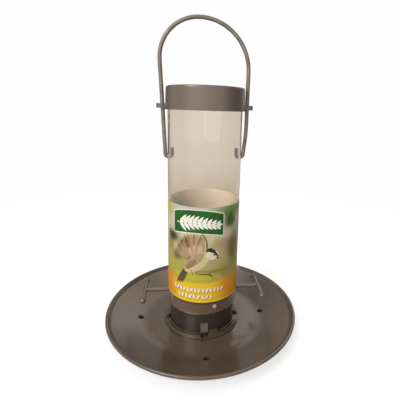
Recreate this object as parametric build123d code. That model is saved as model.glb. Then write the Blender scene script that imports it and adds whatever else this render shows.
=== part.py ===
from build123d import *
import math
import os

# Hanging tube feeder for fine (nyjer) seed, with a twist-on seed tray. All sizes are in mm.
# Frame: the origin is the centre of the tray's underside, +Z is up, -Y is the front,
# and the handle and both perches lie along X.

# Seed tube: clear pipe
tube_r = 32.0
tube_wall = 1.6
tube_bottom = 23.8
tube_top = 216.7
tube_edge_round = 0.35

# Running and assembly gaps
gap = 0.3
loose_gap = 0.4

# Seed tray: a flat middle, then a cone up to a steep wall with a beaded rim
tray_r = 89.2
tray_wall = 1.8
tray_height = 14.4
tray_flat_r = 56.0
tray_cone_r = 84.5
tray_cone_rise = 9.4
tray_rim_width = 1.9
tray_rim_depth = 1.9
tray_bend_above = 32.2
tray_bend_below = tray_bend_above + tray_wall
tray_corner_bend = 3.0
tray_bead_round = 0.9
tray_bead_underside = 0.6
drain_r = 2.8
drain_circle_r = 58.4
drain_count = 4

# Base cup: plugs into the tube and carries the tray
cup_r = tube_r - tube_wall - 0.1
cup_wall = 2.0
cup_bottom = tray_wall + gap
cup_floor = 1.8
cup_top = 33.0
pad_inner_r = 22.0
pad_width = 8.0
pad_height = 9.0

# Seed cone: sheds the seed to the two ports
cone_ledge = 35.0
cone_r = 29.4
cone_slope = 30.0
cone_wall = 2.0
cone_tip_r = 6.0
cone_ring_wall = 1.5
cone_ring_depth = 4.5

# Twist-on fixing between the base cup and the tray
collar_top = 5.4
collar_inner_r = cup_r + gap
collar_outer_r = 34.3
collar_undercut_r = 31.9
collar_foot_r = 35.4
collar_foot_height = 0.7
lip_underside = 4.1
groove_inner_r = 32.5
groove_outer_r = 33.3
groove_depth = 1.5
outer_step = 0.4
slot_angles = (-90.0, -8.0, 90.0, 188.0)
lug_r = collar_undercut_r - loose_gap
lug_rise = 0.05
lug_thickness = 1.4
lug_arc = 8.4
slot_width = 6.4
twist_angle = 24.0
key_width = 6.6
key_bottom = 7.0
key_top = 15.2
key_bottom_r = 32.7
key_top_r = 30.6
key_half_arc = 6.2
stop_arc = 13.4
stop_clear_arc = 0.6
stop_inner_r = 30.8
stop_outer_r = 33.4
stop_top = 8.3

# Printed sleeve around the tube
sleeve_clearance = 0.05
sleeve_thickness = 0.25
sleeve_bottom = 36.2
sleeve_height = 86.1

# Seed ports in the tube, and the cut-outs in the sleeve around them
port_width = 3.0
port_height = 5.0
port_round = 1.35
port_z = 39.5
cutout_width = 10.0
cutout_top = 43.5
cutout_round = 3.0

# Perches: arm, crossbar and ball ends in one moulding
perch_z = 31.5
perch_reach = 54.3
arm_r = 1.9
bar_r = 2.1
bar_half = 17.5
ball_r = 2.8
shank_r = 1.5
shank_depth = 9.6
shank_clearance = 0.05
tube_hole_clearance = 0.15
seat_clearance = 0.1

# Dome-headed pins through the tube wall into the base cup
pin_angle = -73.8
pin_z = 31.0
pin_head_r = 2.0
pin_head_height = 1.3

# Cap: a skirted lid whose two ears slide on the handle
cap_bottom = 199.2
cap_top = 218.3
cap_bottom_r = 33.9
cap_top_r = 33.3
cap_edge_round = 1.7
cap_bead_r = 34.2
cap_bead_height = 0.9
ear_z = 202.2
ear_height = 3.8
ear_x = 37.1
ear_hole_length = 6.1
ear_hole_width = 4.7
ear_wall = 1.1

# Handle: one bent wire, hooked through the tube wall at both ends
wire_r = 1.7
hook_z = 159.3
hook_inner_x = 28.5
left_foot_x = -33.85
right_foot_x = 33.9
hook_rise = 8.0
hook_bend = 2.2
hook_hole_r = 2.2
handle_top = 272.8
left_shoulder_x = -39.7
left_shoulder_bend = 32.4
right_leg_x = 36.2
right_shoulder_bend = 41.1
right_knee_z = 180.0
right_knee_bend = 150.0
wire_end_round = 0.8

sides = (0.0, 180.0)
cut_margin = 1.0


def turned(outline):
    """Solid of revolution about Z, from the (radius, height) corners of its section."""
    section = Polyline(*[(r, 0, z) for r, z in outline], close=True)
    return revolve(make_face(section.edges()), Axis.Z)


def ring(inner_r, outer_r, low, high):
    return turned([(inner_r, low), (outer_r, low), (outer_r, high), (inner_r, high)])


def sector(inner_r, outer_r, low, high, middle, arc):
    """Part of a ring, 'arc' degrees wide, with its middle at the angle 'middle'."""
    corners = [(inner_r, low), (outer_r, low), (outer_r, high), (inner_r, high)]
    section = Polyline(*[(r, 0, z) for r, z in corners], close=True)
    wedge = revolve(make_face(section.edges()), Axis.Z, revolution_arc=arc)
    return Rot(0, 0, middle - arc / 2) * wedge


def radial_rod(radius, start, end, height, angle):
    """Round rod along a radius, from 'start' to 'end' mm from the axis."""
    rod = Cylinder(radius, end - start, align=(Align.CENTER, Align.CENTER, Align.MIN))
    return Rot(0, 0, angle) * Pos(start, 0, height) * Rot(0, 90, 0) * rod


def radial_block(width, start, end, low, high, angle):
    block = Box(end - start, width, high - low, align=(Align.MIN, Align.CENTER, Align.MIN))
    return Rot(0, 0, angle) * Pos(start, 0, low) * block


def fixing_angles():
    """Angles and heights of the four fixings: two perches and two pins."""
    perches = [(angle, perch_z) for angle in sides]
    pins = [(pin_angle + angle, pin_z) for angle in sides]
    return perches + pins


def make_seed_tube():
    tube = ring(tube_r - tube_wall, tube_r, tube_bottom, tube_top)
    tube = fillet(tube.edges().filter_by(GeomType.CIRCLE), tube_edge_round)
    for angle, height in fixing_angles():
        hole_r = shank_r + tube_hole_clearance
        tube -= radial_rod(hole_r, cone_r, tube_r + cut_margin, height, angle)
    for angle in sides:
        tube -= radial_rod(hook_hole_r, cone_r, tube_r + cut_margin, hook_z, angle)
        slot = extrude(RectangleRounded(port_height, port_width, port_round), tube_r)
        tube -= Rot(0, 0, angle) * Pos(cone_r, 0, port_z) * Rot(0, 90, 0) * slot
    return tube


def make_label_sleeve():
    inner_r = tube_r + sleeve_clearance
    sleeve = ring(inner_r, inner_r + sleeve_thickness, sleeve_bottom, sleeve_bottom + sleeve_height)
    rise = cutout_top - sleeve_bottom
    window = extrude(RectangleRounded(2 * rise, cutout_width, cutout_round), tube_r)
    for angle in sides:
        sleeve -= Rot(0, 0, angle) * Pos(inner_r - cut_margin, 0, sleeve_bottom) * Rot(0, 90, 0) * window
    return sleeve


def make_base_cup():
    inner_r = cup_r - cup_wall
    outline = [
        (0, cup_bottom),
        (cup_r, cup_bottom),
        (cup_r, cup_top),
        (inner_r, cup_top),
        (inner_r, cup_bottom + cup_floor),
        (0, cup_bottom + cup_floor),
    ]
    cup = turned(outline)
    pad_low = cup_top - pad_height
    for angle, _ in fixing_angles():
        cup += radial_block(pad_width, pad_inner_r, cup_r - cup_wall / 2, pad_low, cup_top, angle)
    for angle, height in fixing_angles():
        bore_r = shank_r + shank_clearance
        cup -= radial_rod(bore_r, pad_inner_r - cut_margin, cup_r + cut_margin, height, angle)
    lug_low = cup_bottom + lug_rise
    for angle in slot_angles:
        middle = angle + twist_angle
        cup += sector(cup_r - cup_wall / 2, lug_r, lug_low, lug_low + lug_thickness, middle, lug_arc)
    for angle in sides:
        cup += Rot(0, 0, angle - 90) * make_key()
    return cup


def make_key():
    """Flat-faced ramp on the +X side of the cup's wall, deepest at its lower end."""
    root = cup_r - cup_wall / 2
    corners = [(root, key_bottom), (key_bottom_r, key_bottom), (key_top_r, key_top), (root, key_top)]
    section = Polyline(*[(x, -key_width / 2, z) for x, z in corners], close=True)
    return extrude(make_face(section.edges()), amount=key_width, dir=(0, 1, 0))


def make_seed_cone():
    rise = cone_r * math.tan(math.radians(cone_slope))
    drop = cone_wall / math.cos(math.radians(cone_slope))
    under_r = (cone_ledge + rise - drop - cup_top) / math.tan(math.radians(cone_slope))
    outline = [
        (0, cone_ledge + rise - drop),
        (under_r, cup_top),
        (cup_r, cup_top),
        (cup_r, cone_ledge),
        (cone_r, cone_ledge),
        (0, cone_ledge + rise),
    ]
    cone = turned(outline)
    tip = cone_ledge + rise - cone_tip_r / math.cos(math.radians(cone_slope))
    blunt = Pos(0, 0, tip) * Sphere(cone_tip_r)
    tangent_z = tip + cone_tip_r * math.cos(math.radians(cone_slope))
    above = Pos(0, 0, tangent_z) * Box(
        2 * cone_tip_r, 2 * cone_tip_r, 2 * cone_tip_r, align=(Align.CENTER, Align.CENTER, Align.MIN)
    )
    cone = cone - above + (blunt & above)
    ring_r = pad_inner_r - gap
    ring_roof = cone_ledge + rise - ring_r * math.tan(math.radians(cone_slope)) - cone_wall
    cone += ring(ring_r - cone_ring_wall, ring_r, cup_top - cone_ring_depth, ring_roof)
    return cone


def make_perch():
    """Perch on the +X side: screw shank, arm, crossbar and a ball at each end of the bar."""
    seat = tube_r + seat_clearance
    arm = radial_rod(arm_r, seat, perch_reach, perch_z, 0)
    shank = radial_rod(shank_r, seat - shank_depth, seat, perch_z, 0)
    bar = Pos(perch_reach, 0, perch_z) * Rot(90, 0, 0) * Cylinder(bar_r, 2 * bar_half)
    perch = arm + shank + bar
    for side in (-1, 1):
        perch += Pos(perch_reach, side * bar_half, perch_z) * Sphere(ball_r)
    return perch


def make_base_pins():
    """Two dome-headed pins, one at the front and one opposite it."""
    dome_r = (pin_head_r**2 + pin_head_height**2) / (2 * pin_head_height)
    half_turn = math.asin(pin_head_r / dome_r) / 2
    halfway = (dome_r * math.sin(half_turn), 0, pin_head_height - dome_r * (1 - math.cos(half_turn)))
    crown = (0, 0, pin_head_height)
    dome = ThreePointArc((pin_head_r, 0, 0), halfway, crown)
    sides_below = Polyline(crown, (0, 0, -shank_depth), (shank_r, 0, -shank_depth), (shank_r, 0, 0))
    shoulder = Line((shank_r, 0, 0), (pin_head_r, 0, 0))
    section = make_face([*sides_below.edges(), shoulder.edge(), dome.edge()])
    upright = revolve(section, Axis.Z)
    pin = Pos(tube_r + seat_clearance, 0, pin_z) * Rot(0, 90, 0) * upright
    pins = [Rot(0, 0, pin_angle + angle) * pin for angle in sides]
    return Compound(children=pins)


def make_cap():
    inner_r = tube_r + gap
    outline = [
        (0, tube_top),
        (inner_r, tube_top),
        (inner_r, cap_bottom),
        (cap_bead_r, cap_bottom),
        (cap_bead_r, cap_bottom + cap_bead_height),
        (cap_bottom_r, cap_bottom + cap_bead_height),
        (cap_top_r, cap_top),
        (0, cap_top),
    ]
    cap = turned(outline)
    top_edge = cap.edges().filter_by(GeomType.CIRCLE).sort_by(Axis.Z)[-1]
    cap = fillet(top_edge, cap_edge_round)
    eye_length = ear_hole_length + 2 * ear_wall
    eye_width = ear_hole_width + 2 * ear_wall
    neck_width = eye_width - ear_wall
    neck_length = ear_x - inner_r - gap
    eye = extrude(SlotOverall(eye_length, eye_width), ear_height)
    neck = Box(neck_length, neck_width, ear_height, align=(Align.MAX, Align.CENTER, Align.MIN))
    hole = extrude(SlotOverall(ear_hole_length, ear_hole_width), ear_height)
    for angle in sides:
        place = Rot(0, 0, angle) * Pos(ear_x, 0, ear_z - ear_height / 2)
        cap += place * (eye + neck)
        cap -= place * hole
    bore = Cylinder(inner_r, tube_top - cap_bottom, align=(Align.CENTER, Align.CENTER, Align.MIN))
    return cap - Pos(0, 0, cap_bottom) * bore


def make_handle():
    """Bail: hook, left leg, lopsided arch, right leg with a slight knee, hook."""
    corners = [
        (-hook_inner_x, hook_z + hook_rise),
        (-hook_inner_x, hook_z),
        (left_foot_x, hook_z),
        (left_shoulder_x, handle_top),
        (right_leg_x, handle_top),
        (right_leg_x, right_knee_z),
        (right_foot_x, hook_z),
        (hook_inner_x, hook_z),
        (hook_inner_x, hook_z + hook_rise),
    ]
    hooks = [hook_bend, hook_bend]
    bends = hooks + [left_shoulder_bend, right_shoulder_bend, right_knee_bend] + hooks
    path = FilletPolyline(*[(x, 0, z) for x, z in corners], radius=bends)
    start = Plane(origin=path @ 0, z_dir=path % 0)
    wire = sweep(start * Circle(wire_r), path=path)
    print("handle wire length", round(path.length, 1))
    rims = [edge for edge in wire.edges() if abs(edge.center().Z - hook_z - hook_rise) < wire_end_round]
    return fillet(rims, wire_end_round)


def make_seed_tray():
    rim_low = tray_height - tray_rim_depth
    slope = math.atan2(tray_cone_rise, tray_cone_r - tray_flat_r)
    shift = tray_wall * math.tan(slope / 2)
    under_flat = tray_flat_r + shift
    under_rise = tray_cone_rise - (tray_rim_width - shift) * math.tan(slope) + shift
    outline = [
        (0, 0),
        (under_flat, 0),
        (tray_cone_r + tray_rim_width, under_rise),
        (tray_r, rim_low),
        (tray_r, tray_height),
        (tray_r - tray_rim_width, tray_height),
        (tray_cone_r, tray_wall + tray_cone_rise),
        (tray_flat_r, tray_wall),
        (0, tray_wall),
    ]
    below = [tray_bend_below, tray_corner_bend, tray_bead_underside]
    above = [tray_bead_round, tray_bead_round, tray_corner_bend, tray_bend_above]
    bends = [0, *below, *above, 0]
    section = FilletPolyline(*[(r, 0, z) for r, z in outline], radius=bends, close=True)
    tray = revolve(make_face(section.edges()), Axis.Z)
    tray += make_tray_collar()
    for angle in slot_angles:
        start = collar_inner_r - cut_margin
        tray -= radial_block(slot_width, start, collar_foot_r + cut_margin, tray_wall, stop_top, angle)
    for angle in sides:
        middle = angle - 90 + key_half_arc + stop_clear_arc + stop_arc / 2
        foot = collar_top - outer_step - cut_margin / 2
        tray += sector(stop_inner_r, stop_outer_r, foot, stop_top, middle, stop_arc)
    drain = Cylinder(drain_r, tray_height)
    for index in range(drain_count):
        tray -= Rot(0, 0, index * 360 / drain_count) * Pos(drain_circle_r, 0, 0) * drain
    return tray


def make_tray_collar():
    """Ring on the tray's floor with an inward lip, a groove in its top and a low foot."""
    foot_top = tray_wall + collar_foot_height
    outer_top = collar_top - outer_step
    outline = [
        (collar_undercut_r, tray_wall / 2),
        (collar_foot_r, tray_wall / 2),
        (collar_foot_r, foot_top),
        (collar_outer_r, foot_top),
        (collar_outer_r, outer_top),
        (groove_outer_r, outer_top),
        (groove_outer_r, collar_top - groove_depth),
        (groove_inner_r, collar_top - groove_depth),
        (groove_inner_r, collar_top),
        (collar_inner_r, collar_top),
        (collar_inner_r, lip_underside),
        (collar_undercut_r, lip_underside),
    ]
    return turned(outline)


os.makedirs("parts", exist_ok=True)
perch_right = make_perch()
pieces = {
    "seed_tube": make_seed_tube(),
    "label_sleeve": make_label_sleeve(),
    "base_cup": make_base_cup(),
    "seed_cone": make_seed_cone(),
    "perch_right": perch_right,
    "perch_left": Rot(0, 0, 180) * perch_right,
    "base_pins": make_base_pins(),
    "cap": make_cap(),
    "handle_wire": make_handle(),
    "seed_tray": make_seed_tray(),
}
for name, shape in pieces.items():
    export_step(shape, f"parts/{name}.step")
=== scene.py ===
import math

import bmesh
import bpy
from mathutils import Matrix, Vector


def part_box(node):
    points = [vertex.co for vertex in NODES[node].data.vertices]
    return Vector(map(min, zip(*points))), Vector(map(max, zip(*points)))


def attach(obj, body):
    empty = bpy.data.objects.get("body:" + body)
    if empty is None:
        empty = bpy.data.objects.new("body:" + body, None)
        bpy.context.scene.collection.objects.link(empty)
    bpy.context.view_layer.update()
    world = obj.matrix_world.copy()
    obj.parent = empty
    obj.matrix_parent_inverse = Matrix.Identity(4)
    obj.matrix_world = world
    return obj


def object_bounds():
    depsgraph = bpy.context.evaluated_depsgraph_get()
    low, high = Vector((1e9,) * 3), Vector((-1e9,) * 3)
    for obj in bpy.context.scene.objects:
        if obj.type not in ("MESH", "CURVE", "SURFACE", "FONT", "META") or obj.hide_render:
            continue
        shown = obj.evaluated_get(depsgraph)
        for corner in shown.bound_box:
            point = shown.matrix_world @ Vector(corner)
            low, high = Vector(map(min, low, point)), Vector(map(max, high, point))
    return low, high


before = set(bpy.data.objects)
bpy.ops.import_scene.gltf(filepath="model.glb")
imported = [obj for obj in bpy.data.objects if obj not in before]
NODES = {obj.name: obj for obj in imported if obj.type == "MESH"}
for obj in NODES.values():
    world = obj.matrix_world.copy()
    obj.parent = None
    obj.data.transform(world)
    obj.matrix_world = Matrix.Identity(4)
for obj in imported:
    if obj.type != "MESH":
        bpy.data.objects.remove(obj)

CAD_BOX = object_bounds()
MM = 0.001

# ---------------------------------------------------------------- camera
CAMERA_PLACE = Vector((-19.6, -280.8, 201.6)) * MM
CAMERA_YAW = math.radians(7.84)
CAMERA_PITCH = math.radians(12.38)
CAMERA_ROLL = math.radians(1.78)
CAMERA_LENS = 28.88
CAMERA_SHIFT = (-0.0632, -0.0535)

# ---------------------------------------------------------------- printed sleeve
SLEEVE_LOW, SLEEVE_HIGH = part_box("label_sleeve")
SLEEVE_R = SLEEVE_HIGH.x / MM
SLEEVE_BOTTOM = SLEEVE_LOW.z / MM
SLEEVE_THICKNESS = 0.25
ART_ANGLE = math.radians(-102.0)  # where the artwork's middle faces
ART_RISE = 1.0
STRIP_WIDTH = 0.8  # artwork is cut into strips this wide, to bend round the sleeve
INK_THICKNESS = 0.004
INK_STEP = 0.02  # between one layer of ink and the next
INK_SHIFT = 0.12  # shared out among the shapes of one piece, so that they don't flicker
PRINT_SPECULAR = 0.08
PRINT_DENSITY = 0.74
PRINT_FADE = 0.025

# ---------------------------------------------------------------- painted sheen and painted shade on the mouldings
# Painted sheen: the base cup is painted paler above this height, where it is seen through the
# clear tube, and beyond this radius (height, radius).
CUP_PAINTED_SHEEN_FROM = (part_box("seed_tube")[0].z / MM, 30.6)  # height, radius
# Painted shade: darker rings painted in the grooves and steps of the tray's collar (radius, half
# width).
TRAY_PAINTED_SHADE_RINGS = ((32.9, 0.55), (30.9, 0.4), (35.8, 0.5))  # radius, half width
# How strongly the painted sheen and the painted shade are mixed in.
PAINTED_SHEEN_SHARE = 0.8
PAINTED_SHADE_SHARE = 0.85


def linear(red, green, blue):
    """Scene-linear colour from 0-255 display values."""

    def one(value):
        share = value / 255.0
        return share / 12.92 if share <= 0.04045 else ((share + 0.055) / 1.055) ** 2.4

    return (one(red), one(green), one(blue), 1.0)


PAPER_TONE = linear(236, 230, 216)
# Colour of the painted sheen.
PAINTED_SHEEN_PEWTER = linear(112, 97, 85)
# Colour of the painted shade.
PAINTED_SHADE_PEWTER = linear(34, 29, 25)
PIGMENT = linear(190, 176, 160)
PEWTER = linear(98, 86, 78)
TRAY_PEWTER = linear(93, 80, 69)
# Painted shade: the base cup is the same pewter plastic, given a darker copy of its colour because
# it stands in shade down in the tray.
CUP_PEWTER_IN_PAINTED_SHADE = linear(50, 43, 37)


def printed_tone(colour):
    """The colour an ink shows on the paper: a little darker than the ink, and faded."""
    ink_share = PRINT_DENSITY * (1 - PRINT_FADE)
    mixed = [c * ink_share + p * PRINT_FADE for c, p in zip(colour, PAPER_TONE)]
    return tuple(mixed[:3]) + (1.0,)


# ---------------------------------------------------------------- node helpers
class Tree:
    """A material's node tree, with short calls for the nodes used here."""

    def __init__(self, name):
        self.material = bpy.data.materials.new(name)
        self.material.use_nodes = True
        self.nodes = self.material.node_tree.nodes
        self.links = self.material.node_tree.links
        self.nodes.clear()
        self.output = self.nodes.new("ShaderNodeOutputMaterial")
        self.place = self.nodes.new("ShaderNodeTexCoord").outputs["Object"]

    def set(self, socket, value):
        if isinstance(value, bpy.types.NodeSocket):
            self.links.new(value, socket)
        else:
            socket.default_value = value

    def math(self, operation, first, second=0.0, third=0.0, clamp=False):
        node = self.nodes.new("ShaderNodeMath")
        node.operation = operation
        node.use_clamp = clamp
        for socket, value in zip(node.inputs, (first, second, third)):
            self.set(socket, value)
        return node.outputs[0]

    def noise(self, scale, detail=3.0, roughness=0.5, stretch=None, seed=0.0):
        node = self.nodes.new("ShaderNodeTexNoise")
        node.noise_dimensions = "4D"
        node.inputs["Scale"].default_value = scale
        node.inputs["Detail"].default_value = detail
        node.inputs["Roughness"].default_value = roughness
        node.inputs["W"].default_value = seed
        if stretch:
            mapping = self.nodes.new("ShaderNodeMapping")
            mapping.inputs["Scale"].default_value = stretch
            self.links.new(self.place, mapping.inputs["Vector"])
            self.links.new(mapping.outputs[0], node.inputs["Vector"])
        else:
            self.links.new(self.place, node.inputs["Vector"])
        return node.outputs["Fac"]

    def span(self, value, low, high, to_low, to_high, smooth=True):
        """Maps low..high onto to_low..to_high and clamps outside."""
        node = self.nodes.new("ShaderNodeMapRange")
        node.interpolation_type = "SMOOTHSTEP" if smooth else "LINEAR"
        self.set(node.inputs["Value"], value)
        node.inputs["From Min"].default_value = low
        node.inputs["From Max"].default_value = high
        node.inputs["To Min"].default_value = to_low
        node.inputs["To Max"].default_value = to_high
        return node.outputs["Result"]

    def mix(self, factor, first, second, blend="MIX"):
        node = self.nodes.new("ShaderNodeMix")
        node.data_type = "RGBA"
        node.blend_type = blend
        self.set(node.inputs["Factor"], factor)
        self.set(node.inputs[6], first)
        self.set(node.inputs[7], second)
        return node.outputs[2]

    def bump(self, height, strength, distance, normal=None):
        node = self.nodes.new("ShaderNodeBump")
        node.inputs["Strength"].default_value = strength
        node.inputs["Distance"].default_value = distance
        self.links.new(height, node.inputs["Height"])
        if normal is not None:
            self.links.new(normal, node.inputs["Normal"])
        return node.outputs["Normal"]

    def length(self, vector):
        node = self.nodes.new("ShaderNodeVectorMath")
        node.operation = "LENGTH"
        self.links.new(vector, node.inputs[0])
        return node.outputs["Value"]

    def round_place(self):
        """The place across and in depth in metres, then the distance from the upright axis
        and the height in mm."""
        split = self.nodes.new("ShaderNodeSeparateXYZ")
        self.links.new(self.place, split.inputs[0])
        across, depth, height = split.outputs
        flat = self.nodes.new("ShaderNodeCombineXYZ")
        self.links.new(across, flat.inputs[0])
        self.links.new(depth, flat.inputs[1])
        radius = self.math("MULTIPLY", self.length(flat.outputs[0]), 1.0 / MM)
        return across, depth, radius, self.math("MULTIPLY", height, 1.0 / MM)

    def either(self, factor, first, second):
        """The first shader where factor is 0, the second where it is 1."""
        node = self.nodes.new("ShaderNodeMixShader")
        for socket, value in zip(node.inputs, (factor, first, second)):
            self.links.new(value, socket)
        return node.outputs[0]

    def principled(self, **values):
        node = self.nodes.new("ShaderNodeBsdfPrincipled")
        for name, value in values.items():
            self.set(node.inputs[name.replace("_", " ")], value)
        return node

    def finish(self, shader):
        self.links.new(shader, self.output.inputs["Surface"])
        return self.material


def moulded_plastic(name, colour, roughness, painted_sheen_from=None, painted_shade_rings=()):
    """Semi-gloss moulded plastic with a fine metallic pigment, faint flow marks and rubbing.

    A painted sheen makes it paler wherever it is above a given height or beyond a given radius
    (mm), and a painted shade makes it darker in given rings (radius, half width, mm).
    """
    tree = Tree(name)
    cloud = tree.noise(24.0, detail=3.0, seed=1.0)
    flake = tree.noise(6500.0, detail=1.0, seed=2.0)
    light = tuple(min(1.0, channel * 1.06) for channel in colour[:3]) + (1.0,)
    dark = tuple(channel * 0.94 for channel in colour[:3]) + (1.0,)
    body = tree.mix(tree.span(cloud, 0.3, 0.7, 0.0, 1.0), dark, light)
    body = tree.mix(tree.span(flake, 0.6, 0.8, 0.0, 0.16), body, PIGMENT)
    _, _, radius, height = tree.round_place()
    # Painted sheen: paler above the given height and beyond the given radius.
    if painted_sheen_from:
        sheen_height, sheen_radius = painted_sheen_from
        above = tree.span(height, sheen_height - 0.3, sheen_height + 0.3, 0.0, 1.0)
        beyond = tree.span(radius, sheen_radius, sheen_radius + 0.4, 0.0, PAINTED_SHEEN_SHARE)
        body = tree.mix(tree.math("MAXIMUM", above, beyond), body, PAINTED_SHEEN_PEWTER)
    # Painted shade: darker in the given rings.
    for middle, half_width in painted_shade_rings:
        away = tree.math("ABSOLUTE", tree.math("SUBTRACT", radius, middle))
        inside = tree.span(away, half_width, half_width * 0.6, 0.0, PAINTED_SHADE_SHARE)
        body = tree.mix(inside, body, PAINTED_SHADE_PEWTER)
    rub = tree.noise(160.0, detail=4.0, roughness=0.6, seed=3.0)
    gloss = tree.span(rub, 0.4, 0.75, roughness - 0.02, roughness + 0.05)
    grain = tree.noise(1500.0, detail=2.0, seed=4.0)
    sink = tree.noise(18.0, detail=1.0, seed=5.0)
    normal = tree.bump(grain, 0.05, 0.02 * MM)
    normal = tree.bump(sink, 0.2, 0.15 * MM, normal)
    shader = tree.principled(
        Base_Color=body,
        Roughness=gloss,
        Metallic=0.2,
        Normal=normal,
        Specular_IOR_Level=0.75,
        Coat_Weight=0.25,
        Coat_Roughness=0.14,
    )
    return tree.finish(shader.outputs[0])


def coated_wire(name):
    """Powder-coated steel wire: satin, with a fine orange-peel skin."""
    tree = Tree(name)
    cloud = tree.noise(90.0, detail=3.0, seed=11.0)
    share = tree.span(cloud, 0.3, 0.7, 0.0, 1.0)
    colour = tree.mix(share, linear(110, 103, 95), linear(127, 119, 110))
    peel = tree.noise(1700.0, detail=2.0, seed=12.0)
    gloss = tree.span(tree.noise(420.0, seed=13.0), 0.3, 0.7, 0.30, 0.42)
    normal = tree.bump(peel, 0.22, 0.04 * MM)
    shader = tree.principled(Base_Color=colour, Roughness=gloss, Metallic=0.45, Normal=normal)
    return tree.finish(shader.outputs[0])


def pin_metal(name):
    """Satin steel of the pin heads."""
    tree = Tree(name)
    cloud = tree.noise(900.0, detail=3.0, seed=21.0)
    colour = tree.mix(cloud, linear(146, 143, 126), linear(172, 168, 150))
    gloss = tree.span(tree.noise(2400.0, seed=22.0), 0.3, 0.7, 0.45, 0.6)
    shader = tree.principled(Base_Color=colour, Roughness=gloss, Metallic=0.4)
    return tree.finish(shader.outputs[0])


def clear_tube(name):
    """Clear extruded plastic: lets lamp light through to what is inside it."""
    tree = Tree(name)
    haze = tree.noise(60.0, detail=4.0, seed=31.0)
    gloss = tree.span(haze, 0.4, 0.8, 0.02, 0.05)
    draw = tree.noise(320.0, detail=2.0, seed=32.0, stretch=(1.0, 1.0, 0.02))
    normal = tree.bump(draw, 0.05, 0.02 * MM)
    colour = tree.mix(haze, linear(250, 246, 240), linear(245, 239, 231))
    glass = tree.principled(
        Base_Color=colour, Roughness=gloss, IOR=1.49, Normal=normal, Transmission_Weight=1.0
    )
    through = tree.nodes.new("ShaderNodeBsdfTransparent")
    through.inputs["Color"].default_value = (0.93, 0.91, 0.88, 1.0)
    path = tree.nodes.new("ShaderNodeLightPath")
    shadow = path.outputs["Is Shadow Ray"]
    return tree.finish(tree.either(shadow, glass.outputs[0], through.outputs[0]))


# ---------------------------------------------------------------- label print
def sleeve_print(name):
    """The sleeve: a soft-focus garden over a yellow band outside, and plain paper inside."""
    tree = Tree(name)
    across, depth, radius, height = tree.round_place()
    angle = tree.math("ARCTAN2", depth, across)
    turned = tree.math("WRAP", tree.math("SUBTRACT", angle, ART_ANGLE), math.pi, -math.pi)
    u = tree.math("MULTIPLY", turned, SLEEVE_R)
    v = tree.math("SUBTRACT", height, ART_RISE)

    def spot(middle, size):
        """1 at the middle of a soft oval, 0 outside it."""
        du = tree.math("DIVIDE", tree.math("SUBTRACT", u, middle[0]), size[0])
        dv = tree.math("DIVIDE", tree.math("SUBTRACT", v, middle[1]), size[1])
        square = tree.math("ADD", tree.math("MULTIPLY", du, du), tree.math("MULTIPLY", dv, dv))
        return tree.span(tree.math("SQRT", square), 0.25, 1.25, 1.0, 0.0)

    haze = tree.noise(70.0, detail=3.0, seed=41.0)
    drift = tree.noise(160.0, detail=2.0, seed=42.0)
    colour = tree.mix(
        tree.span(v, 62.0, 104.0, 0.0, 1.0), linear(168, 160, 70), linear(206, 196, 164)
    )
    colour = tree.mix(tree.span(v, 100.0, 118.0, 0.0, 1.0), colour, linear(190, 198, 182))
    garden = tree.mix(haze, linear(128, 130, 56), linear(176, 166, 96))
    colour = tree.mix(tree.span(haze, 0.46, 0.62, 0.0, 0.45), colour, garden)
    colour = tree.mix(tree.span(drift, 0.5, 0.66, 0.0, 0.25), colour, linear(214, 206, 172))
    for middle, size, tint, share in GARDEN_SPOTS:
        shade = tree.math("MULTIPLY", spot(middle, size), share)
        colour = tree.mix(shade, colour, tint)

    side = tree.span(tree.math("ABSOLUTE", u), 10.0, 34.0, 0.0, 1.0)
    band = tree.mix(side, linear(236, 198, 8), linear(222, 132, 4))
    band = tree.mix(tree.span(haze, 0.4, 0.7, 0.0, 0.25), band, linear(240, 204, 40))
    hem = tree.span(v, SLEEVE_BOTTOM - 0.5, SLEEVE_BOTTOM + 1.0, 1.0, 0.0)
    band = tree.mix(tree.math("MULTIPLY", hem, 0.7), band, linear(250, 216, 20))
    edge = tree.math("ADD", v, tree.math("MULTIPLY", side, -3.0))
    band_top = tree.span(edge, 51.5, 56.0, 1.0, 0.0)
    colour = tree.mix(band_top, colour, band)
    density = (PRINT_DENSITY, PRINT_DENSITY, PRINT_DENSITY, 1.0)
    colour = tree.mix(1.0, colour, density, blend="MULTIPLY")
    colour = tree.mix(PRINT_FADE, colour, PAPER_TONE)

    printed = tree.math("GREATER_THAN", radius, SLEEVE_R - SLEEVE_THICKNESS / 2)
    fibre = tree.noise(2600.0, detail=2.0, seed=43.0)
    paper = tree.mix(fibre, linear(254, 248, 238), linear(255, 253, 247))
    colour = tree.mix(printed, paper, colour)
    gloss = tree.span(tree.noise(300.0, seed=44.0), 0.3, 0.7, 0.38, 0.5)
    normal = tree.bump(fibre, 0.15, 0.02 * MM)
    shader = tree.principled(
        Base_Color=colour, Roughness=gloss, Normal=normal, Specular_IOR_Level=PRINT_SPECULAR
    )
    return tree.finish(shader.outputs[0])


def ink(name, colour, other, scale=320.0):
    """Printed ink: two close tones broken up by a fine grain."""
    tree = Tree(name)
    grain = tree.noise(scale, detail=4.0, roughness=0.6, seed=51.0)
    share = tree.span(grain, 0.38, 0.62, 0.0, 1.0)
    tone = tree.mix(share, printed_tone(colour), printed_tone(other))
    gloss = tree.span(tree.noise(300.0, seed=52.0), 0.3, 0.7, 0.36, 0.48)
    shader = tree.principled(Base_Color=tone, Roughness=gloss, Specular_IOR_Level=PRINT_SPECULAR)
    return tree.finish(shader.outputs[0])


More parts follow.
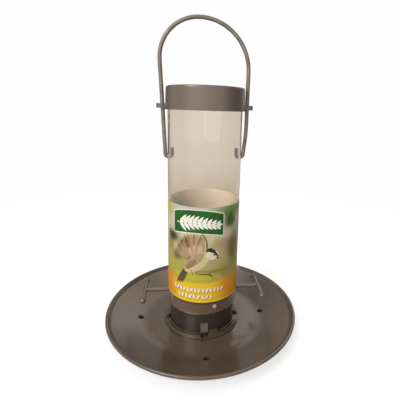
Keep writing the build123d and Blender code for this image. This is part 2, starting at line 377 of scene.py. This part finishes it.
# Soft spots of the printed garden: middle, size, tint and share.
GARDEN_SPOTS = [
    ((-33.0, 117.0), (9.0, 9.0), linear(196, 182, 58), 0.95),
    ((30.0, 117.0), (20.0, 8.0), linear(112, 142, 72), 0.9),
    ((30.0, 108.0), (9.0, 10.0), linear(62, 96, 18), 1.0),
    ((28.0, 97.0), (14.0, 6.0), linear(206, 192, 176), 0.85),
    ((24.0, 86.0), (15.0, 8.0), linear(172, 152, 116), 0.8),
    ((35.0, 82.0), (10.0, 18.0), linear(112, 92, 52), 0.9),
    ((14.0, 70.0), (20.0, 9.0), linear(176, 160, 116), 0.8),
    ((-26.0, 92.5), (10.0, 6.5), linear(44, 50, 14), 1.0),
    ((-30.0, 84.0), (6.0, 8.0), linear(86, 84, 34), 0.9),
    ((-31.0, 80.0), (8.0, 9.0), linear(172, 154, 74), 0.8),
    ((-20.0, 76.0), (7.0, 6.0), linear(96, 88, 38), 0.85),
    ((-26.0, 66.0), (13.0, 8.0), linear(184, 168, 56), 0.85),
    ((30.0, 66.0), (18.0, 5.0), linear(164, 150, 66), 0.85),
    ((14.0, 64.0), (20.0, 2.4), linear(136, 124, 34), 0.8),
    ((-4.0, 59.0), (26.0, 5.0), linear(200, 182, 36), 0.85),
    ((26.0, 60.0), (12.0, 4.0), linear(150, 146, 74), 0.7),
    ((60.0, 96.0), (18.0, 20.0), linear(130, 132, 66), 0.8),
    ((-62.0, 84.0), (18.0, 20.0), linear(118, 124, 52), 0.8),
    ((88.0, 78.0), (16.0, 14.0), linear(172, 162, 84), 0.7),
]


def oval(middle, size, turn=0.0, points=24):
    """Outline of an ellipse, its long way turned by 'turn' degrees."""
    c, s = math.cos(math.radians(turn)), math.sin(math.radians(turn))
    outline = []
    for index in range(points):
        t = 2 * math.pi * index / points
        x, y = size[0] * math.cos(t), size[1] * math.sin(t)
        outline.append((middle[0] + c * x - s * y, middle[1] + s * x + c * y))
    return outline


def blade(root, turn, length, width, blunt=0.55, points=9):
    """Outline of a leaf or feather from its root, pointing 'turn' degrees from +u."""
    c, s = math.cos(math.radians(turn)), math.sin(math.radians(turn))
    half = []
    for index in range(points + 1):
        t = index / points
        half.append((length * t, width / 2 * math.sin(math.pi * t**blunt) ** 0.8))
    outline = half + [(x, -y) for x, y in reversed(half[1:-1])]
    return [(root[0] + c * x - s * y, root[1] + s * x + c * y) for x, y in outline]


def stroke(points, width):
    """Outline of a line of even width with tapered ends."""
    left, right = [], []
    for index, (x, y) in enumerate(points):
        before = points[max(0, index - 1)]
        after = points[min(len(points) - 1, index + 1)]
        dx, dy = after[0] - before[0], after[1] - before[1]
        run = math.hypot(dx, dy)
        share = 0.45 if index in (0, len(points) - 1) else 1.0
        nx, ny = -dy / run * width / 2 * share, dx / run * width / 2 * share
        left.append((x + nx, y + ny))
        right.append((x - nx, y - ny))
    return left + right[::-1]


def printed_piece(name, shapes, layer):
    """Thin printed shapes wrapped on the sleeve. Each shape is (outline, material)."""
    mesh = bpy.data.meshes.new(name)
    piece = bpy.data.objects.new(name, mesh)
    bpy.context.scene.collection.objects.link(piece)
    whole = bmesh.new()
    for index, (outline, material) in enumerate(shapes):
        if material.name not in mesh.materials:
            mesh.materials.append(material)
        slot = list(mesh.materials).index(material)
        part = bmesh.new()
        part.faces.new([part.verts.new((u, 0.0, v + ART_RISE)) for u, v in outline])
        bmesh.ops.triangulate(part, faces=part.faces[:])
        low = math.floor(min(u for u, _ in outline) / STRIP_WIDTH)
        high = math.ceil(max(u for u, _ in outline) / STRIP_WIDTH)
        for cut in range(low + 1, high):
            geometry = part.verts[:] + part.edges[:] + part.faces[:]
            place = (cut * STRIP_WIDTH, 0, 0)
            bmesh.ops.bisect_plane(
                part, geom=geometry, plane_co=place, plane_no=(1, 0, 0), dist=1e-5
            )
        radius = SLEEVE_R + INK_STEP * layer + INK_SHIFT * index / max(1, len(shapes))
        copies = {}
        for vertex in part.verts:
            angle = ART_ANGLE + vertex.co.x / SLEEVE_R
            spot = Vector((radius * math.cos(angle), radius * math.sin(angle), vertex.co.z)) * MM
            copies[vertex] = whole.verts.new(spot)
        for face in part.faces:
            made = whole.faces.new([copies[vertex] for vertex in face.verts])
            made.material_index = slot
        part.free()
    whole.normal_update()
    for face in whole.faces:
        middle = face.calc_center_median()
        if face.normal.dot(Vector((middle.x, middle.y, 0.0))) < 0:
            face.normal_flip()
    whole.to_mesh(mesh)
    whole.free()
    solid = piece.modifiers.new("thickness", "SOLIDIFY")
    solid.thickness = INK_THICKNESS * MM
    solid.offset = -1.0
    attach(piece, "feeder")
    return piece


def arched_panel(left, right, low, high, corner):
    """Outline of a panel with round corners. 'low' and 'high' are its edges' heights
    at the left, middle and right; each edge is bowed through them."""

    def edge(heights, u):
        t = (u - left) / (right - left)
        start, middle, end = heights
        return start * (1 - t) * (1 - 2 * t) + middle * 4 * t * (1 - t) + end * t * (2 * t - 1)

    def bowed(heights, start, end):
        for index in range(steps + 1):
            u = start + (end - start) * index / steps
            outline.append((u, edge(heights, u)))

    def rounded(heights, u_middle, first_turn, drop):
        for index in range(1, 4):
            t = math.radians(first_turn + 90 * index / 4)
            u = u_middle + corner * math.cos(t)
            outline.append((u, edge(heights, u) + drop + corner * math.sin(t)))

    outline = []
    steps = 16
    inner_left, inner_right = left + corner, right - corner
    bowed(high, inner_right, inner_left)
    rounded(high, inner_left, 90, -corner)
    rounded(low, inner_left, 180, corner)
    bowed(low, inner_left, inner_right)
    rounded(low, inner_right, 270, corner)
    rounded(high, inner_right, 0, -corner)
    return outline


def make_banner():
    """Green panel with a pale border and a sprig of leaves."""
    green = ink("banner_green", linear(0, 78, 10), linear(10, 96, 20), scale=140.0)
    pale = ink("banner_pale", linear(236, 242, 224), linear(248, 250, 240))
    border = arched_panel(-23.9, 22.9, (96.4, 98.4, 95.2), (116.2, 119.4, 115.4), 1.6)
    panel = arched_panel(-23.2, 22.2, (97.2, 99.2, 96.0), (115.5, 118.7, 114.7), 1.1)
    printed_piece("label_banner", [(border, pale), (panel, green)], 1)
    stem = []
    for step in range(11):
        stem.append((-20.0 + 4.0 * step, 106.6 + 1.6 * math.sin(step * 0.42)))
    leaves = [(stroke(stem[:-1], 1.1), pale)]
    for index, (x, y) in enumerate(stem[1:-1]):
        size = 9.6 - 0.55 * index
        for side in (1, -1):
            leaves.append((blade((x, y), side * 50, size, 3.1), pale))
    leaves.append((blade(stem[-2], 4, 5.6, 2.8), pale))
    printed_piece("label_sprig", leaves, 6)


def make_bird():
    """A plain small brown bird, one wing raised, over a twig."""
    dark = ink("feather_dark", linear(104, 78, 54), linear(126, 96, 70), scale=900.0)
    middle = ink("feather_mid", linear(138, 108, 78), linear(160, 128, 96), scale=900.0)
    tan = ink("feather_tan", linear(166, 142, 108), linear(184, 160, 124), scale=900.0)
    pale = ink("feather_pale", linear(190, 168, 132), linear(206, 186, 150), scale=900.0)
    breast = ink("breast_cream", linear(196, 182, 128), linear(214, 200, 150), scale=700.0)
    cheek = ink("cheek_pale", linear(214, 204, 178), linear(230, 222, 200), scale=900.0)
    tail_tone = ink("tail_olive", linear(66, 60, 32), linear(96, 88, 52), scale=900.0)
    black = ink("print_black", linear(26, 18, 14), linear(40, 30, 24))
    shoulder = (1.0, 73.5)
    shapes = []
    for index in range(4):
        shapes.append((blade((-9.5, 67.0), 236 + 6 * index, 20.5 - 1.5 * index, 3.8), tail_tone))
    feathers = 13
    for index in range(feathers):
        share = index / (feathers - 1)
        turn = 160 - 80 * share
        length = 22.5 + 4.0 * math.sin(math.pi * (0.1 + 0.8 * share))
        tone = (dark, middle)[index % 2] if share < 0.6 else (tan, middle)[index % 2]
        shapes.append((blade(shoulder, turn, length, 5.0, blunt=1.15), tone))
    for index in range(7):
        turn = 166 - 5.5 * index
        c, s = math.cos(math.radians(turn)), math.sin(math.radians(turn))
        start = (shoulder[0] + 8.0 * c, shoulder[1] + 8.0 * s)
        shapes.append((blade(start, turn, 14.5, 0.75, blunt=1.0), pale))
    for index in range(6):
        turn = 138 - 9.5 * index
        shapes.append((blade((2.0, 73.0), turn, 17.0, 4.6, blunt=1.0), (tan, pale)[index % 2]))
    edge = [(3.2, 99.0), (6.0, 95.6), (7.6, 91.6), (8.0, 87.4), (7.6, 83.6)]
    shapes.append((stroke(edge, 1.1), dark))
    shapes.append((oval((-1.0, 71.4), (12.6, 6.0), 36), breast))
    shapes.append((oval((-3.2, 73.8), (10.6, 3.9), 40), tan))
    shapes.append((oval((-5.6, 70.6), (6.4, 2.4), 46), middle))
    shapes.append((oval((12.4, 79.6), (5.6, 4.6), 0), cheek))
    crown = [
        (6.6, 82.2), (8.4, 85.4), (11.4, 86.0), (14.8, 83.6),
        (18.2, 77.8), (16.6, 78.0), (13.4, 81.2), (9.4, 82.8),
    ]
    shapes.append((crown, black))
    shapes.append((oval((14.2, 79.4), (0.8, 0.8), points=12), black))
    shapes.append(([(16.6, 78.4), (19.2, 74.8), (16.2, 76.6)], black))
    for x in (-5.4, -1.4):
        shapes.append((stroke([(x, 66.0), (x + 0.6, 63.4), (x + 2.0, 61.2)], 0.7), tail_tone))
    printed_piece("label_bird", shapes, 2)
    twig = [(1.0, 62.2), (4.0, 61.8), (7.0, 62.0), (10.0, 61.4), (13.4, 60.2)]
    buds = [
        (blade((10.0, 61.4), 38, 2.8, 1.2), tail_tone),
        (blade((11.4, 60.8), -60, 2.6, 1.0), tail_tone),
    ]
    printed_piece("label_twig", [(stroke(twig, 1.0), black), *buds], 1)


def make_seed_rows():
    """Two rows of pale seeds on the yellow band, where such a label has its wording."""
    pale = ink("seed_pale", linear(244, 232, 214), linear(252, 246, 236))
    shade = ink("seed_shade", linear(150, 92, 24), linear(172, 112, 36))
    rows = [(-22.0, 22.0, 46.8, 14), (-17.0, 12.0, 40.6, 9)]
    seeds = []
    for left, right, height, count in rows:
        for index in range(count):
            x = left + (right - left) * index / (count - 1)
            turn = 64 if index % 2 else 112
            seeds.append((oval((x + 0.35, height - 0.35), (2.5, 1.15), turn, points=14), shade))
            seeds.append((oval((x, height), (2.3, 0.95), turn, points=14), pale))
    printed_piece("label_seeds", seeds, 1)


# ---------------------------------------------------------------- stage, light, camera
FLOOR_R = 0.62
FLOOR_FADE = (0.30, 0.58)
FLOOR_GLOW = 0.66
FLOOR_BOUNCE = 0.12
# Painted shadow: radius of a dark disc painted on the floor under the tray.
PAINTED_SHADOW_R = 0.07
WARM_ROOM = linear(225, 217, 209)
WARM_LOW = linear(204, 189, 172)
WARM_LOW_SLOPE = (-0.12, -0.34)
ROOM_COLOUR = linear(238, 231, 224)
ROOM_LEFT = 0.8
ROOM_RIGHT = 0.14
ROOM_BACK_LOW = 0.5
ROOM_BACK_HIGH = 1.4
ROOM_BACK_LEFT_SHARE = 0.3
ROOM_TOP_SHARE = 0.4
WINDOW_DIRECTION = Vector((0.05, -0.99, 0.1)).normalized()
WINDOW_EDGE = 0.2
WINDOW_LEVEL = 1.05
PALE_BACK = linear(254, 254, 254)
# Painted shadow: width of the soft edge of the painted shadow.
PAINTED_SHADOW_FADE = 0.008
BLACK, WHITE = (0.0, 0.0, 0.0, 1.0), (1.0, 1.0, 1.0, 1.0)
LAMPS = {
    "key": ((-0.75, -0.75, 0.95), (0.7, 0.7), 9.0, (1.0, 0.97, 0.93)),
    "front": ((-0.75, -1.05, 0.32), (1.9, 0.6), 4.0, (1.0, 0.97, 0.93)),
    "top": ((0.05, 0.25, 1.25), (1.0, 1.0), 4.5, (1.0, 0.98, 0.95)),
}
NO_REFLECTION = "front"  # this lamp lights the feeder but doesn't show in it


def make_floor():
    """Pale round floor that fades out at its rim, with a painted shadow: a dark disc under the
    tray.
    """
    mesh = bpy.data.meshes.new("floor")
    floor = bpy.data.objects.new("floor", mesh)
    bpy.context.scene.collection.objects.link(floor)
    disc = bmesh.new()
    bmesh.ops.create_circle(disc, cap_ends=True, segments=96, radius=FLOOR_R)
    disc.to_mesh(mesh)
    disc.free()
    tree = Tree("pale_floor")
    out_from_middle = tree.length(tree.place)
    open_share = tree.span(out_from_middle, *FLOOR_FADE, 0.0, 1.0)
    tone = tree.mix(tree.noise(30.0, seed=61.0), linear(172, 174, 178), linear(176, 178, 182))
    # Painted shadow: inside this disc under the tray the floor is dark and doesn't glow.
    shadow_fade_end = PAINTED_SHADOW_R + PAINTED_SHADOW_FADE
    shown = tree.span(out_from_middle, PAINTED_SHADOW_R, shadow_fade_end, 0.0, 1.0)
    tone = tree.mix(shown, linear(14, 13, 12), tone)
    pale = tree.principled(Base_Color=tone, Roughness=0.9)
    tree.set(pale.inputs["Emission Color"], tree.mix(shown, BLACK, WHITE))
    seen = tree.nodes.new("ShaderNodeLightPath").outputs["Is Camera Ray"]
    glow = tree.span(seen, 0.0, 1.0, FLOOR_BOUNCE, FLOOR_GLOW, smooth=False)
    tree.set(pale.inputs["Emission Strength"], glow)
    clear = tree.nodes.new("ShaderNodeBsdfTransparent")
    mesh.materials.append(
        tree.finish(tree.either(open_share, pale.outputs[0], clear.outputs[0]))
    )
    floor.location.z = CAD_BOX[0].z - 0.02 * MM


def make_world():
    """White to the camera, a warm room through the clear tube, and a one-sided room with
    a soft window in reflections."""
    world = bpy.data.worlds.new("studio")
    bpy.context.scene.world = world
    world.use_nodes = True
    nodes, links = world.node_tree.nodes, world.node_tree.links
    nodes.clear()
    output = nodes.new("ShaderNodeOutputWorld")
    path = nodes.new("ShaderNodeLightPath")
    place = nodes.new("ShaderNodeTexCoord").outputs["Generated"]
    facing = nodes.new("ShaderNodeSeparateXYZ")
    links.new(place, facing.inputs[0])
    across, away, upward = facing.outputs

    def give(socket, value):
        if isinstance(value, bpy.types.NodeSocket):
            links.new(value, socket)
        else:
            socket.default_value = value

    def background(colour, strength):
        node = nodes.new("ShaderNodeBackground")
        node.inputs["Color"].default_value = colour
        give(node.inputs["Strength"], strength)
        return node.outputs[0]

    def mixed(factor, first, second):
        node = nodes.new("ShaderNodeMixShader")
        for socket, value in zip(node.inputs, (factor, first, second)):
            links.new(value, socket)
        return node.outputs[0]

    def combine(operation, first, second, third=0.0):
        node = nodes.new("ShaderNodeMath")
        node.operation = operation
        for socket, value in zip(node.inputs, (first, second, third)):
            give(socket, value)
        return node.outputs[0]

    def ramp(socket, low, high, to_low=0.0, to_high=1.0):
        node = nodes.new("ShaderNodeMapRange")
        node.interpolation_type = "SMOOTHSTEP"
        for socket_in, value in zip(node.inputs, (socket, low, high)):
            give(socket_in, value)
        node.inputs["To Min"].default_value = to_low
        node.inputs["To Max"].default_value = to_high
        return node.outputs["Result"]

    sides = ramp(across, 0.5, -0.8, ROOM_RIGHT, ROOM_LEFT)
    rising = ramp(upward, 0.28, 0.5, ROOM_BACK_LOW, ROOM_BACK_HIGH)
    overhead = ramp(upward, 0.62, 0.95, 1.0, ROOM_TOP_SHARE)
    one_side = ramp(across, -0.15, 0.25, ROOM_BACK_LEFT_SHARE, 1.0)
    behind = combine("MULTIPLY", combine("MULTIPLY", rising, overhead), one_side)
    backward = ramp(away, 0.3, 0.7)
    level = combine("MULTIPLY_ADD", backward, combine("SUBTRACT", behind, sides), sides)
    toward = nodes.new("ShaderNodeVectorMath")
    toward.operation = "DOT_PRODUCT"
    links.new(place, toward.inputs[0])
    toward.inputs[1].default_value = WINDOW_DIRECTION
    window = ramp(toward.outputs["Value"], WINDOW_EDGE, 1.0, 0.0, WINDOW_LEVEL)
    room = background(ROOM_COLOUR, combine("ADD", level, window))

    high = background(WARM_ROOM, 1.0)
    low = background(WARM_LOW, 1.0)
    seen_through = mixed(ramp(upward, *WARM_LOW_SLOPE), high, low)
    room = mixed(path.outputs["Is Transmission Ray"], room, seen_through)
    back = background(PALE_BACK, 1.0)
    links.new(mixed(path.outputs["Is Camera Ray"], room, back), output.inputs["Surface"])


def area_light(name, place, size, power, colour):
    """Soft box at 'place' that faces the middle of the feeder. Returns its object."""
    lamp = bpy.data.lights.new(name, "AREA")
    lamp.shape = "RECTANGLE"
    lamp.size, lamp.size_y = size
    lamp.energy = power
    lamp.color = colour
    light = bpy.data.objects.new(name, lamp)
    bpy.context.scene.collection.objects.link(light)
    light.location = place
    middle = (CAD_BOX[0] + CAD_BOX[1]) / 2
    light.rotation_euler = (middle - Vector(place)).to_track_quat("-Z", "Y").to_euler()
    return light


def make_camera():
    """The view, as a place, three turns, a lens and its shift."""
    camera = bpy.data.cameras.new("camera")
    holder = bpy.data.objects.new("camera", camera)
    bpy.context.scene.collection.objects.link(holder)
    camera.lens = CAMERA_LENS
    camera.shift_x, camera.shift_y = CAMERA_SHIFT
    camera.clip_start, camera.clip_end = 0.01, 20.0
    aside = Matrix.Rotation(-CAMERA_YAW, 4, "Z")
    down = Matrix.Rotation(math.pi / 2 - CAMERA_PITCH, 4, "X")
    turn = (aside @ down) @ Matrix.Rotation(CAMERA_ROLL, 4, "Z")
    holder.matrix_world = Matrix.Translation(CAMERA_PLACE) @ turn
    bpy.context.scene.camera = holder


def dress(node, material):
    """Gives a CAD node its material."""
    mesh = NODES[node].data
    mesh.materials.clear()
    mesh.materials.append(material)


make_camera()
make_world()
make_floor()
for name, (place, size, power, colour) in LAMPS.items():
    light = area_light(name, place, size, power, colour)
    light.visible_glossy = name != NO_REFLECTION

pewter = moulded_plastic("pewter_plastic", PEWTER, 0.24)
for node in ("seed_cone", "perch_right", "perch_left", "cap"):
    dress(node, pewter)
# Painted shade: the tray's plastic carries dark rings in its collar grooves.
tray_plastic = moulded_plastic("pewter_plastic_tray", TRAY_PEWTER, 0.2, painted_shade_rings=TRAY_PAINTED_SHADE_RINGS)
dress("seed_tray", tray_plastic)
# Painted shade: the base cup gets a darker copy of the pewter plastic, and it also carries the
# painted sheen.
cup_painted_shade_plastic = moulded_plastic("pewter_plastic_painted_shade", CUP_PEWTER_IN_PAINTED_SHADE, 0.3, painted_sheen_from=CUP_PAINTED_SHEEN_FROM)
dress("base_cup", cup_painted_shade_plastic)
dress("handle_wire", coated_wire("coated_wire"))
dress("base_pins", pin_metal("pin_metal"))
dress("seed_tube", clear_tube("clear_tube"))
dress("label_sleeve", sleeve_print("sleeve_print"))
make_banner()
make_bird()
make_seed_rows()

bpy.context.scene.view_settings.view_transform = "Standard"
